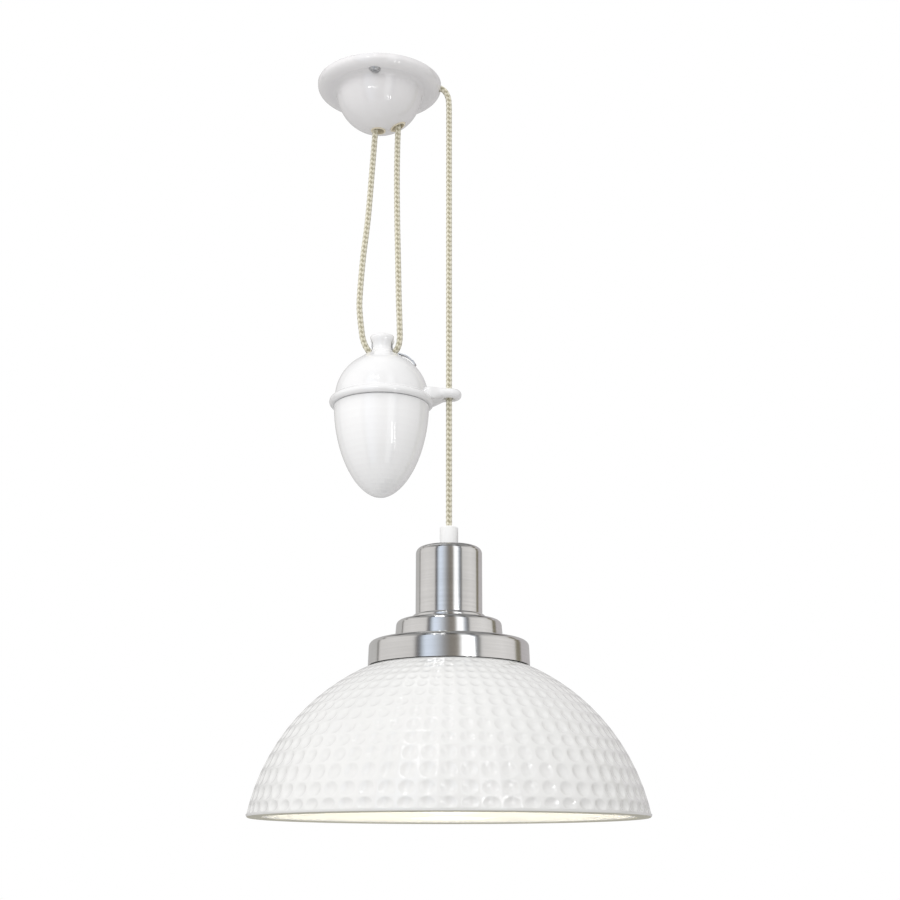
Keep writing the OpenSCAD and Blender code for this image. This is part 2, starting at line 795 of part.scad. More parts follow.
module neck_yoke() {
    color(steel) at_weight() difference() {
        union() {
            translate([-yoke_l / 2, -yoke_gap / 2 - yoke_t, yoke_foot])
                cube([yoke_l, yoke_gap + 2 * yoke_t, yoke_t]);
            for (s = [-1, 1]) translate([0, s * (yoke_gap + yoke_t) / 2, neck_wheel_z]) rotate([90, 0, 0]) {
                cylinder(r = yoke_cheek_r, h = yoke_t, center = true);
                translate([-yoke_cheek_r, yoke_foot - neck_wheel_z, -yoke_t / 2])
                    cube([2 * yoke_cheek_r, neck_wheel_z - yoke_foot, yoke_t]);
            }
            post(stem_r, ballast_top - stem_depth, yoke_foot + yoke_t / 2);
        }
        translate([0, 0, neck_wheel_z]) rotate([90, 0, 0])
            cylinder(d = axle_d + 2 * fit, h = yoke_l, center = true);
    }
}

module neck_wheel() {
    color(alloy) translate([weight_x, 0, neck_wheel_z])
        wheel(neck_wheel_pitch, neck_wheel_pitch - neck_rim, neck_wheel_w);
}

module neck_axle() {
    color(steel) translate([weight_x, 0, neck_wheel_z]) rotate([90, 0, 0])
        cylinder(d = axle_d, h = yoke_gap + 2 * yoke_t, center = true);
}

module stem_nut() {
    color(steel) at_weight() hex_nut(stem_nut_w, stem_r + fit, boss_foot - stem_nut_t, stem_nut_t);
}

// Inner radius of the strip at an angle above the level: it arches from the cap up onto the neck's flare
function strip_lift(up) = let (share = (up - strip_to) / (strip_from - strip_to))
    cap_r + fit + strip_seat * share + strip_arch * sin(180 * share);

// Thin strip over the cap's shoulder, with a few ribs across its lower end
module cap_strip() {
    n = 14;
    turns = [for (i = [0:n]) strip_from + (strip_to - strip_from) * i / n];
    color(steel) at_weight() rotate([0, 0, strip_turn]) translate([0, strip_w / 2, cap_z]) rotate([90, 0, 0]) {
        linear_extrude(strip_w)
            polygon(concat([for (up = turns) (strip_lift(up) + strip_t) * [cos(up), sin(up)]],
                [for (i = [n:-1:0]) strip_lift(turns[i]) * [cos(turns[i]), sin(turns[i])]]));
        for (i = [0:rib_count - 1]) let (up = strip_to + (i + 0.5) * rib_step)
            rotate([0, 0, up]) translate([strip_lift(up) + strip_t / 2, -rib_h / 2, 0])
                cube([strip_t / 2 + rib_h, rib_h, strip_w]);
    }
}

/* Lamp */

module cord_grip() {
    color(moulding) at_lamp() difference() {
        union() {
            post(grip_r, cover_top, grip_top - grip_chamfer);
            translate([0, 0, grip_top - grip_chamfer])
                cylinder(r1 = grip_r, r2 = grip_r - grip_chamfer, h = grip_chamfer);
            post(stem_hole_r - fit, cover_top - grip_stem, cover_top + over);
        }
        post(cord_r + fit, cover_top - grip_stem - over, grip_top + over);
        // groove beside the clamping tongue
        rotate([0, 0, groove_turn]) translate([grip_r - groove_depth, -groove_w / 2, cover_top + over])
            cube([2 * groove_depth, groove_w, grip_h]);
    }
}

module grip_nut() {
    color(steel) at_lamp() hex_nut(grip_nut_w, stem_hole_r, cover_top - metal_t - grip_nut_t, grip_nut_t);
}

module lamp_cover() {
    foot_z = step_top + cover_foot_r;
    color(alloy) at_lamp() {
        spun_cup(cover_r, cover_r, cover_top, foot_z, cover_corner, stem_hole_r);
        // rolled foot
        rotate_extrude() difference() {
            translate([cover_r + 0.3, foot_z]) circle(r = cover_foot_r, $fn = 32);
            translate([0, step_top - over]) square([cover_r - metal_t, 4 * cover_foot_r]);
        }
    }
}

module step_ring() {
    color(alloy) at_lamp() spun_cup(step_r - step_flare, step_r, step_top, collar_top, step_corner, bore_r);
}

module collar() {
    color(alloy) at_lamp()
        spun_cup(collar_r - collar_flare, collar_r, collar_top, collar_foot, collar_corner, bore_r);
}

module lampholder() {
    color(moulding) at_lamp() difference() {
        union() {
            post(holder_r, step_top + shoulder_h, holder_top - holder_round);
            translate([0, 0, holder_top - holder_round])
                cylinder(r1 = holder_r, r2 = holder_neck_r, h = holder_round);
            // shoulder that presses on the step ring
            post(cover_r - metal_t - gap, step_top, step_top + shoulder_h);
            post(skirt_r, skirt_foot, step_top + over);
        }
        post(cup_r, skirt_foot - over, step_top - over);
        // wiring space above the insert
        post(wiring_r, wiring_foot, wiring_top);
        post(insert_hole_r, step_top - 2 * over, wiring_foot + over);
        post(stem_hole_r + over, wiring_top - over, holder_top + over);
    }
}

module holder_insert() {
    color(ceramic) at_lamp() ring(cup_r - fit, insert_bore, insert_foot, step_top - over);
}

module thread_shell() {
    color(brass) at_lamp() ring(cup_r - fit, cup_r - fit - shell_t, shell_foot, insert_foot);
}

module centre_contact() {
    color(brass) at_lamp() {
        post(contact_r, contact_z, contact_z + contact_t);
        post(contact_pin_r, contact_z, contact_pin_top);
    }
}

module spacer_ring() {
    color(moulding) at_lamp() ring(spacer_r, bore_r, shade_crown, collar_top - metal_t);
}

module shade_gasket() {
    color(iron) at_lamp() ring(gasket_r, bore_r, gasket_foot, shade_crown - crown_t);
}

// Threaded ring that holds the shade up, with finger grips round it
module shade_ring() {
    color(moulding) at_lamp() difference() {
        ring(ring_r, skirt_r + fit, gasket_foot - ring_t, gasket_foot);
        for (i = [0:ring_grips - 1]) rotate([0, 0, 360 * i / ring_grips])
            translate([ring_r, 0, 0]) post(ring_grip_r, gasket_foot - ring_t - over, gasket_foot + over);
    }
}

// Height of the shade's outer curve at a radius
function shade_height(r) = shade_z + shade_r * sqrt(1 - pow(r / level_r, 2));
// Point of the curve in section, drawn in by a wall
function curve(up, wall) = [(level_r - wall) * cos(up), shade_z + (shade_r - wall) * sin(up)];
// Point of the outer curve in space, sunk by a depth
function skin(up, turn, sink) = let (p = curve(up, sink)) [p[0] * cos(turn), p[0] * sin(turn), p[1]];
// Angle at the foot of a row of dimples; the rows grow lower towards the collar
function row_angle(k) = let (u = k / dimple_rows)
    band_angle + (collar_angle - band_angle) * (u + row_shrink * u * (1 - u));

// Section of the shade as [r, z]: from the rim up the outside, through the bore and down the inside
function shade_section() = concat(
    [curve(rim_angle, 0)],
    [for (k = [0:dimple_rows]) curve(row_angle(k), 0)],
    [for (i = [1:crown_steps]) curve(collar_angle + (crown_angle - collar_angle) * i / crown_steps, 0)],
    [[bore_r, shade_crown], [bore_r, shade_crown - crown_t], [crown_r, shade_crown - crown_t]],
    [for (i = [0:inner_steps]) curve(inner_top + (inner_foot - inner_top) * i / inner_steps, shade_wall)],
    [[rim_r - rim_face, rim_z]]);

// One dimple: four sunken points inside a cell, and the faces that join them to its corners a, b, c, d
function scoop_points(k, turn) = let (low = row_angle(k), high = row_angle(k + 1), up = (low + high) / 2)
    let (rise = scoop_share * (high - low) / 2, reach = scoop_share * 180 / dimple_columns)
    let (sink = dimple_depth * cos(up) / cos(band_angle))
    [skin(up - rise, turn, sink), skin(up, turn + reach, sink),
     skin(up + rise, turn, sink), skin(up, turn - reach, sink)];
function scoop_faces(a, b, c, d, s) = [[a, s, b], [b, s, s + 1], [b, s + 1, c], [c, s + 1, s + 2],
    [c, s + 2, d], [d, s + 2, s + 3], [d, s + 3, a], [a, s + 3, s], [s, s + 3, s + 2], [s, s + 2, s + 1]];

// The section is turned in one step for each column of dimples, and every cell of a row gets its scoop
module shade() {
    n = dimple_columns;
    section = shade_section();
    m = len(section);
    turned = [for (p = section, j = [0:n - 1]) [p[0] * cos(360 * j / n), p[0] * sin(360 * j / n), p[1]]];
    scoops = [for (k = [0:dimple_rows - 1], j = [0:n - 1]) each scoop_points(k, 360 * (j + 0.5) / n)];
    faces = [for (i = [0:m - 1], j = [0:n - 1])
        let (i2 = (i + 1) % m, j2 = (j + 1) % n)
        let (a = i * n + j, b = i * n + j2, c = i2 * n + j2, d = i2 * n + j)
        each i > 0 && i <= dimple_rows ? scoop_faces(a, b, c, d, m * n + 4 * ((i - 1) * n + j))
            : [[a, c, b], [a, d, c]]];
    color(ceramic) at_lamp() polyhedron(concat(turned, scoops), faces);
}

// Outline of the bulb's glass, drawn in by a wall
function glass_profile(wall) = let (r = bulb_r - wall, z = contact_z - bulb_l + bulb_r)
    let (x0 = r * cos(glass_shoulder), z0 = z + r * sin(glass_shoulder))
    let (neck = glass_neck_r - wall, fall = skirt_foot - over - z0)
    concat(arc(0, z, r, -90, glass_shoulder, 16),
        [for (i = [1:6]) let (t = i / 6) [x0 + (neck - x0) * (1 - pow(1 - t, 1.5)), z0 + fall * t]],
        [[neck, glass_top + glass_neck_h], [0, glass_top + glass_neck_h]]);

module bulb_glass() {
    color(glass) at_lamp() rotate_extrude() difference() {
        polygon(glass_profile(0));
        polygon(glass_profile(glass_wall));
        // open neck inside the cap
        translate([0, glass_top + glass_neck_h - over]) square([glass_neck_r - glass_wall, 2 * over]);
    }
}

module bulb_cap() {
    color(brass) at_lamp() rotate_extrude() polygon([
        [cap_top_r - cap_shell, glass_top], [cap_top_r, glass_top], [cap_top_r, glass_top + cap_straight],
        [cap_tip_r, glass_top + cap_straight + cap_cone],
        [cap_end_r, contact_z - fit], [0, contact_z - fit],
        [0, glass_top + cap_straight + cap_cone - over],
        [cap_top_r - cap_shell, glass_top + cap_straight - over]]);
}

rose();
rose_bushes();
screw_cups();
fixing_screws();
ceiling_bracket();
ceiling_wheel();
ceiling_axle();
clamp_saddle();
clamp_screws();
terminal_block();
terminal_screws();
lead_cord();
rose_cord();
left_cord();
right_cord();
lamp_cord();
loop_cord();
counterweight_cap();
counterweight_egg();
ballast();
neck_yoke();
neck_wheel();
neck_axle();
stem_nut();
cap_strip();
cord_grip();
grip_nut();
holder_cord();
lamp_cover();
step_ring();
collar();
lampholder();
holder_insert();
thread_shell();
centre_contact();
spacer_ring();
shade();
shade_gasket();
shade_ring();
bulb_cap();
bulb_glass();
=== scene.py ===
import math

import bmesh
import bpy
import numpy as np
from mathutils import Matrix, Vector


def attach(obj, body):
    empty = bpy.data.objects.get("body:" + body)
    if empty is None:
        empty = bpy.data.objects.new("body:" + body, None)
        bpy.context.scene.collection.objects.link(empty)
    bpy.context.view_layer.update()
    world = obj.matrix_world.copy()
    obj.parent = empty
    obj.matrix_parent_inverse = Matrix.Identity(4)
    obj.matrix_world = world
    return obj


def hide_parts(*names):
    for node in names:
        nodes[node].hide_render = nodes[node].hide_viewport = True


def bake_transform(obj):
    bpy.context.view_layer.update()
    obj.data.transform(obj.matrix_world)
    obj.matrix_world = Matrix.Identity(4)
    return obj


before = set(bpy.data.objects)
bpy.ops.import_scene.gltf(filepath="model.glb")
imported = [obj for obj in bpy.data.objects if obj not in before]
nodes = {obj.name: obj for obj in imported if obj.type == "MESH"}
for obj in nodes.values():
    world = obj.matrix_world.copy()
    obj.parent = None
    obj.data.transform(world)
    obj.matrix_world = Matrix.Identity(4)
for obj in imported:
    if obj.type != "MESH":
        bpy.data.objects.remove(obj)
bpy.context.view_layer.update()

# The object's lengths are in millimetres, and MM turns them into Blender's metres. The camera, the
# studio and the depths of the bumps are in metres.
MM = 0.001

# Where the main parts stand, as in the part's own source
LAMP_X = 59.0
CORD_D = 5.0
RIM_Z = -607.1
RIM_R = 150.0
SHADE_R = 152.5
SHADE_Z = RIM_Z - math.sqrt(SHADE_R**2 - RIM_R**2)
SHADE_WALL = 4.0


# ---------------------------------------------------------------- camera

CAMERA_PLACE = (0.0598, -1.157, -0.642)
CAMERA_TILT = 105.43   # degrees, where 90 looks level
CAMERA_LENS = 60.48    # on a film 36 mm wide


def place_camera():
    """The camera that fits the photographed rim, rose and collar ellipses."""
    data = bpy.data.cameras.new("photo_camera")
    data.sensor_width = 36.0
    data.lens = CAMERA_LENS
    data.clip_start = 0.05
    data.clip_end = 20.0
    camera = bpy.data.objects.new("photo_camera", data)
    camera.location = CAMERA_PLACE
    camera.rotation_euler = (math.radians(CAMERA_TILT), 0.0, 0.0)
    bpy.context.scene.collection.objects.link(camera)
    bpy.context.scene.camera = camera


# ---------------------------------------------------------------- materials

class Finish:
    """One material under construction, with short ways to add and join its nodes."""

    def __init__(self, name):
        self.material = bpy.data.materials.new(name)
        self.material.use_nodes = True
        self.tree = self.material.node_tree
        self.shader = self.tree.nodes["Principled BSDF"]
        self.out = self.tree.nodes["Material Output"]

    def node(self, kind, settings=(), **inputs):
        """A node with its settings, and its inputs by socket name; an input is a value or a socket."""
        made = self.tree.nodes.new(kind)
        for key, value in dict(settings).items():
            setattr(made, key, value)
        for key, value in inputs.items():
            self.put(made.inputs[key.replace("_", " ")], value)
        return made

    def put(self, socket, value):
        if isinstance(value, bpy.types.NodeSocket):
            self.tree.links.new(value, socket)
        else:
            socket.default_value = value

    def set(self, **inputs):
        for key, value in inputs.items():
            self.put(self.shader.inputs[key.replace("_", " ")], value)
        return self

    def math(self, operation, a, b=0.0, clamp=False):
        made = self.node("ShaderNodeMath", {"operation": operation, "use_clamp": clamp})
        self.put(made.inputs[0], a)
        self.put(made.inputs[1], b)
        return made.outputs[0]

    def place(self, scale=(1, 1, 1), shift=(0, 0, 0)):
        """Object coordinates, stretched and shifted."""
        coordinates = self.node("ShaderNodeTexCoord").outputs["Object"]
        mapping = self.node("ShaderNodeMapping", Vector=coordinates, Scale=scale, Location=shift)
        return mapping.outputs["Vector"]

    def noise(self, scale, detail=3.0, roughness=0.5, vector=None):
        where = vector if vector is not None else self.place()
        return self.node("ShaderNodeTexNoise", Vector=where, Scale=scale, Detail=detail,
                         Roughness=roughness).outputs["Fac"]

    def ramp(self, value, stops):
        made = self.node("ShaderNodeValToRGB", Fac=value)
        elements = made.color_ramp.elements
        while len(elements) < len(stops):
            elements.new(0.5)
        for element, (position, colour) in zip(elements, stops):
            element.position = position
            element.color = (*colour, 1.0)
        return made.outputs["Color"]

    def spread(self, value, low, high):
        """A 0 to 1 value taken to the range low to high."""
        made = self.node("ShaderNodeMapRange", Value=value)
        made.inputs["To Min"].default_value = low
        made.inputs["To Max"].default_value = high
        return made.outputs["Result"]

    def bump(self, *layers):
        """Relief from (height, depth in metres) pairs, each laid over the last."""
        normal = None
        for height, depth in layers:
            made = self.node("ShaderNodeBump", Height=height, Distance=depth, Strength=1.0)
            if normal is not None:
                self.put(made.inputs["Normal"], normal)
            normal = made.outputs["Normal"]
        self.set(Normal=normal)
        return self


def glaze(name, shades, roughness=(0.05, 0.11), waves=0.00025):
    """White glaze on ceramic: gloss that pools unevenly, tiny pinholes and a faint drift of tone."""
    f = Finish(name)
    drift = f.noise(14.0, 3.0)
    f.set(Base_Color=f.ramp(drift, [(0.3, shades[0]), (0.7, shades[1])]))
    f.set(Roughness=f.spread(f.noise(55.0, 4.0), *roughness))
    pinholes = f.node("ShaderNodeTexVoronoi", Vector=f.place(), Scale=160.0).outputs["Distance"]
    pits = f.math("LESS_THAN", pinholes, 0.035)
    f.bump((f.noise(38.0, 2.0), waves), (pits, -0.00002))
    f.set(Coat_Weight=0.5, Coat_Roughness=0.03, IOR=1.5)
    return f.material


def spun_metal(name, tone, roughness=(0.09, 0.19), lines=5200.0):
    """Polished metal turned on a lathe: fine rings round the vertical axis and a little haze."""
    f = Finish(name)
    rings = f.noise(1.0, 4.0, 0.65, f.place(scale=(18.0, 18.0, lines)))
    haze = f.noise(26.0, 4.0)
    f.set(Metallic=1.0)
    # the brushing shows as faint level lines about a millimetre apart
    brushed = f.noise(1.0, 5.0, 0.75, f.place(scale=(9.0, 9.0, 950.0)))
    mottle = f.math("MULTIPLY", f.math("ADD", brushed, haze), 0.5)
    dull, bright = (tuple(share * c for c in tone) for share in (0.86, 1.03))
    f.set(Base_Color=f.ramp(mottle, [(0.3, dull), (0.65, bright)]))
    both = f.math("MULTIPLY", f.math("ADD", rings, brushed), 0.5)
    f.set(Roughness=f.spread(both, *roughness))
    f.bump((rings, 0.000004))
    return f.material


def plated_steel(name, tone):
    """Zinc-plated steel, with the mottled bloom of the plating and fine scratches."""
    f = Finish(name)
    bloom = f.noise(150.0, 5.0, 0.6)
    scratches = f.noise(1.0, 3.0, 0.6, f.place(scale=(1500.0, 90.0, 300.0)))
    f.set(Metallic=1.0)
    f.set(Base_Color=f.ramp(bloom, [(0.3, tuple(0.82 * c for c in tone)), (0.7, tone)]))
    f.set(Roughness=f.spread(scratches, 0.2, 0.42))
    f.bump((scratches, 0.00001))
    return f.material


def moulded(name, tone, roughness=(0.28, 0.42), grain=0.00002):
    """Moulded plastic or rubber with a fine even grain."""
    f = Finish(name)
    patches = f.noise(30.0, 3.0)
    f.set(Base_Color=f.ramp(patches, [(0.3, tuple(0.95 * c for c in tone)), (0.7, tone)]))
    f.set(Roughness=f.spread(f.noise(240.0, 3.0), *roughness))
    f.bump((f.noise(1400.0, 2.0), grain))
    return f.material


def raw_iron(name):
    """Sand-cast iron: coarse skin with a little rust."""
    f = Finish(name)
    skin = f.noise(320.0, 6.0, 0.7)
    rust = f.noise(45.0, 4.0)
    f.set(Base_Color=f.ramp(rust, [(0.45, (0.055, 0.055, 0.06)), (0.75, (0.16, 0.085, 0.045))]))
    f.set(Metallic=0.6, Roughness=f.spread(skin, 0.55, 0.85))
    f.bump((skin, 0.0003))
    return f.material


def lit_glass(name):
    """Frosted glass of a lit bulb, brightest round its middle and cooler towards the neck."""
    f = Finish(name)
    height = f.node("ShaderNodeSeparateXYZ", Vector=f.place()).outputs["Z"]
    along = f.node("ShaderNodeMapRange", Value=height)
    along.inputs["From Min"].default_value = -0.58
    along.inputs["From Max"].default_value = -0.50
    tone = f.ramp(along.outputs["Result"], [(0.0, (1.0, 0.92, 0.68)), (0.55, (1.0, 0.94, 0.74)),
                                            (1.0, (1.0, 0.85, 0.55))])
    f.set(Base_Color=(0.95, 0.93, 0.88, 1.0), Emission_Color=tone, Emission_Strength=9.0)
    f.set(Roughness=f.spread(f.noise(400.0, 2.0), 0.35, 0.5))
    return f.material


BRAID_YARNS = 4        # yarns that wind each way round the cord
BRAID_LEAD = 16.6      # length of cord in which one yarn goes once round, in millimetres
TAN_EDGE = 0.66        # share of a crossing that the narrower tan yarn covers


def braided_textile(name):
    """Broad cream yarns that climb to the right, plaited over and under narrower olive-tan ones that
    climb to the left. The cord's UV map holds turns round the cord and leads along it, so each yarn is a
    whole number of their sum or difference."""
    f = Finish(name)
    uv = f.node("ShaderNodeSeparateXYZ", Vector=f.node("ShaderNodeUVMap", {"uv_map": "braid"}).outputs["UV"])
    turn = f.math("MULTIPLY", uv.outputs["X"], float(BRAID_YARNS))
    along = f.math("MULTIPLY", uv.outputs["Y"], float(BRAID_YARNS))
    right, left = f.math("ADD", turn, along), f.math("SUBTRACT", turn, along)
    crossing = f.math("ADD", f.math("FLOOR", right), f.math("FLOOR", left))
    tan_over = f.math("GREATER_THAN", f.math("FLOORED_MODULO", crossing, 2.0), 0.5)
    in_cream = f.math("ABSOLUTE", f.math("SUBTRACT", f.math("MULTIPLY", f.math("FRACT", right), 2.0), 1.0))
    in_tan = f.math("ABSOLUTE", f.math("SUBTRACT", f.math("MULTIPLY", f.math("FRACT", left), 2.0), 1.0))
    tan_shown = f.math("MULTIPLY", tan_over, f.math("LESS_THAN", in_tan, TAN_EDGE))
    # fine filaments lie along each yarn, and the gaps between yarns are in shade
    spread = f.node("ShaderNodeMix", {"data_type": "FLOAT"}, Factor=tan_shown)
    f.put(spread.inputs[2], in_cream)
    f.put(spread.inputs[3], f.math("DIVIDE", in_tan, TAN_EDGE))
    filaments = f.math("SINE", f.math("MULTIPLY", spread.outputs[0], 16.0))
    fuzz = f.noise(2200.0, 3.0)
    cream = f.ramp(fuzz, [(0.3, (0.69, 0.65, 0.52)), (0.7, (0.79, 0.76, 0.64))])
    tan = f.ramp(fuzz, [(0.3, (0.37, 0.34, 0.23)), (0.7, (0.49, 0.455, 0.335))])
    mixed = f.node("ShaderNodeMix", {"data_type": "RGBA"}, Factor=tan_shown)
    f.put(mixed.inputs[6], cream)
    f.put(mixed.inputs[7], tan)
    shaded = f.node("ShaderNodeMix", {"data_type": "RGBA", "blend_type": "MULTIPLY"})
    f.put(shaded.inputs[0], f.math("MULTIPLY", f.math("POWER", spread.outputs[0], 3.0), 0.45))
    f.put(shaded.inputs[6], mixed.outputs[2])
    f.put(shaded.inputs[7], (0.45, 0.42, 0.31, 1.0))
    f.set(Base_Color=shaded.outputs[2], Roughness=0.9, Sheen_Weight=0.15, Sheen_Roughness=0.5)
    f.bump((filaments, 0.00004), (fuzz, 0.00005))
    return f.material


# ---------------------------------------------------------------- cord

LEAD_ROUTE = [(-12.5, -7.5), (-8, -8.8), (-4.6, -12.6), (-3.2, -18), (-3.2, -31), (-3.2, -45)]
LEFT_ROUTE = [(-3.2, -45), (-5.9, -89), (-8.3, -125), (-11.8, -160), (-14, -195), (-13.4, -210), (-12, -222)]
LOOP_ROUTE = [(-12, -222), (-11, -228.5), (-8.9, -234.8), (-5.8, -239.9), (-2.1, -243.6), (1.2, -245.7),
              (5, -246.5), (8.8, -245.7), (12.1, -243.6), (15.8, -239.9), (18.2, -234.8), (19.1, -228.5),
              (19, -222)]
RIGHT_ROUTE = [(19, -222), (18.6, -210), (18, -195), (17.2, -165), (16.1, -125), (15.5, -89), (15.6, -60),
               (15.9, -45)]
ROSE_ROUTE = [(15.9, -45), (15.9, -28), (15.9, -11.3), (17, -7.3), (19.9, -4.4), (23.9, -3.3), (35, -3.3),
              (48, -3.3), (51.8, -4), (55, -6.3), (57.3, -10), (58.6, -15), (59, -22)]
LAMP_ROUTE = [(59, -22), (59, -385.3)]
HOLDER_ROUTE = [(59, -385.3), (59, -417.3)]
CURVE_STEPS = 40       # points between two points of a route, before the even stepping
CORD_STEP = 0.34       # spacing of the rings along a cord
CORD_SIDES = 48
BRAID_DEPTH = 0.24     # how deep the gaps between the yarns are


def smooth_route(points):
    """The same curve through the points as in the part's source, stepped evenly along its length."""
    p = [np.array(q, float) for q in points]
    p = [2 * p[0] - p[1], *p, 2 * p[-1] - p[-2]]
    fine = [p[1]]
    for a, b, c, d in zip(p, p[1:], p[2:], p[3:]):
        for t in np.arange(1, CURVE_STEPS + 1) / CURVE_STEPS:
            fine.append(0.5 * (2 * b + (c - a) * t + (2 * a - 5 * b + 4 * c - d) * t * t
                               + (3 * b - a - 3 * c + d) * t**3))
    fine = np.array(fine)
    along = np.concatenate([[0], np.cumsum(np.linalg.norm(np.diff(fine, axis=0), axis=1))])
    count = int(round(along[-1] / CORD_STEP)) + 1
    wanted = np.linspace(0, along[-1], count)
    return np.stack([np.interp(wanted, along, fine[:, k]) for k in (0, 1)], 1), along[-1]


def braid_height(turn, along):
    """0 in the gaps between yarns and 1 where a cream yarn lies highest, over a tan one."""
    right, left = BRAID_YARNS * (turn + along), BRAID_YARNS * (turn - along)
    tan_over = (np.floor(right) + np.floor(left)) % 2 == 1
    q, s = right - np.floor(right), left - np.floor(left)
    tan_shown = tan_over & (np.abs(2 * s - 1) < TAN_EDGE)
    # a cream yarn shows before and after its crossing too, where it dives under the tan one
    past = (1 - TAN_EDGE) / 2
    run = np.where(tan_over, np.where(s > 0.5, s - 1, s + 1), s)
    arch = np.sin(np.pi * np.clip((run + past) / (1 + 2 * past), 0, 1))
    cream = np.sqrt(np.clip(1 - (2 * q - 1) ** 2, 0, 1)) * (0.35 + 0.65 * arch)
    tan = np.sqrt(np.clip(1 - ((2 * s - 1) / TAN_EDGE) ** 2, 0, 1)) * (0.3 + 0.4 * np.sin(np.pi * q))
    return np.where(tan_shown, tan, cream)


def braided_cord(name, route, travelled):
    """A tube along a route with the braid's yarns raised on it. Returns the piece, its centreline and
    the length of cord up to its end, so that the braid runs on into the next piece."""
    line, length = smooth_route(route)
    count = len(line)
    ahead = np.gradient(line, axis=0)
    ahead /= np.linalg.norm(ahead, axis=1)[:, None]
    for end in (0, -1):
        main = np.argmax(np.abs(ahead[end]))
        square = np.zeros(2)
        square[main] = np.sign(ahead[end][main])
        ahead[end] = square
    turn = np.arange(CORD_SIDES) / CORD_SIDES
    along = (travelled + np.linspace(0, length, count)) / BRAID_LEAD
    t, s = np.meshgrid(turn, along)
    r = CORD_D / 2 - BRAID_DEPTH * (1 - braid_height(t, s))
    angle = 2 * np.pi * t
    x = line[:, :1] - ahead[:, 1:] * r * np.cos(angle)
    y = r * np.sin(angle)
    z = line[:, 1:] + ahead[:, :1] * r * np.cos(angle)
    points = np.stack([x, y, z], 2).reshape(-1, 3) * MM
    i, k = np.meshgrid(np.arange(count - 1), np.arange(CORD_SIDES), indexing="ij")
    after = (k + 1) % CORD_SIDES
    faces = np.stack([i * CORD_SIDES + k, i * CORD_SIDES + after, (i + 1) * CORD_SIDES + after,
                      (i + 1) * CORD_SIDES + k], 2).reshape(-1, 4)
    caps = [list(range(CORD_SIDES - 1, -1, -1)), [(count - 1) * CORD_SIDES + j for j in range(CORD_SIDES)]]
    mesh = bpy.data.meshes.new(name)
    mesh.from_pydata(points.tolist(), [], faces.tolist() + caps)
    mesh.polygons.foreach_set("use_smooth", [True] * len(faces) + [False, False])
    braid = mesh.uv_layers.new(name="braid")
    u = np.stack([k, k + 1, k + 1, k], 2).reshape(-1) / CORD_SIDES
    v = np.stack([along[i], along[i], along[i + 1], along[i + 1]], 2).reshape(-1)
    wound = np.concatenate([np.stack([u, v], 1).reshape(-1), np.zeros(4 * CORD_SIDES)])
    braid.data.foreach_set("uv", wound)
    mesh.update()
    piece = bpy.data.objects.new(name, mesh)
    bpy.context.scene.collection.objects.link(piece)
    path = [(a * MM, 0.0, b * MM) for a, b in line]
    return piece, path, travelled + length


def make_cords(textile):
    """The one cord, in the pieces that its nodes cut it into: from the terminals down to the weight,
    round its wheel, back up over the ceiling wheel and down to the lampholder."""
    travelled = 0.0
    for name, node, route, bodies in (
        ("cord_to_terminals", "lead_cord", LEAD_ROUTE, ("ceiling",)),
        ("cord_left_run", "left_cord", LEFT_ROUTE, ("ceiling", "counterweight")),
        ("cord_round_neck_wheel", "loop_cord", LOOP_ROUTE, ("counterweight",)),
        ("cord_right_run", "right_cord", RIGHT_ROUTE, ("ceiling", "counterweight")),
        ("cord_over_ceiling_wheel", "rose_cord", ROSE_ROUTE, ("ceiling",)),
        ("cord_lamp_run", "lamp_cord", LAMP_ROUTE, ("ceiling", "lamp")),
        ("cord_in_lamp_cover", "holder_cord", HOLDER_ROUTE, ("lamp",)),
    ):
        piece, path, travelled = braided_cord(name, route, travelled)
        piece.data.materials.append(textile)
        if len(bodies) == 2:
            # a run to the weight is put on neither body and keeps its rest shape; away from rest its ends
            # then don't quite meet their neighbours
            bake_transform(piece)
        else:
            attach(piece, bodies[0])
        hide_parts(node)


# ---------------------------------------------------------------- shade

COLUMNS = 66
# Middles of the rows of dimples, as angles above the middle of the shade's sphere
ROWS = [12.3, 16.4, 20.9, 26.1, 30.2, 34.2, 39.0, 42.6, 46.4, 50.2, 53.6, 57.0, 60.3, 63.5]
PLAIN_BAND = 10.9      # angle at which the lowest row begins
COLLAR_ANGLE = 65.4    # angle at which the dimples end, under the collar
CELL_SIDES = 16
# Rings of a dimple, from its softened edge to its middle: share of its radius, and share of its depth
SCOOP = [(1.04, 0.0), (0.96, 0.09), (0.72, 0.48), (0.42, 0.82), (0.0, 1.0)]
SCOOP_WIDTH = 0.82     # share of a column's width
SCOOP_HEIGHT = 0.92    # most of a row's height
SCOOP_DEPTH = 0.13     # depth over width
FAINT_FROM = 34.0      # angle above which the dimples grow shallower towards the collar
FAINTER = 0.45         # depth that they have lost at the collar
CROWN_R = 32.0
CROWN_TOP = -485.5
CROWN_UNDER = -490.1
SHADE_HOLE_R = 20.3
SHADED_RIM_FOOT = 0.75        # height of the unglazed line along the rim, painted dark as shade


def on_shade(angle, elevation, r):
    a, e = math.radians(angle), math.radians(elevation)
    return Vector((LAMP_X + r * math.cos(e) * math.sin(a), -r * math.cos(e) * math.cos(a),
                   SHADE_Z + r * math.sin(e))) * MM


def arc(x, z, r, start, stop, steps):
    """Points (radius, height) on an arc, angles in degrees."""
    return [(x + r * math.cos(math.radians(start + (stop - start) * i / steps)),
             z + r * math.sin(math.radians(start + (stop - start) * i / steps))) for i in range(steps + 1)]


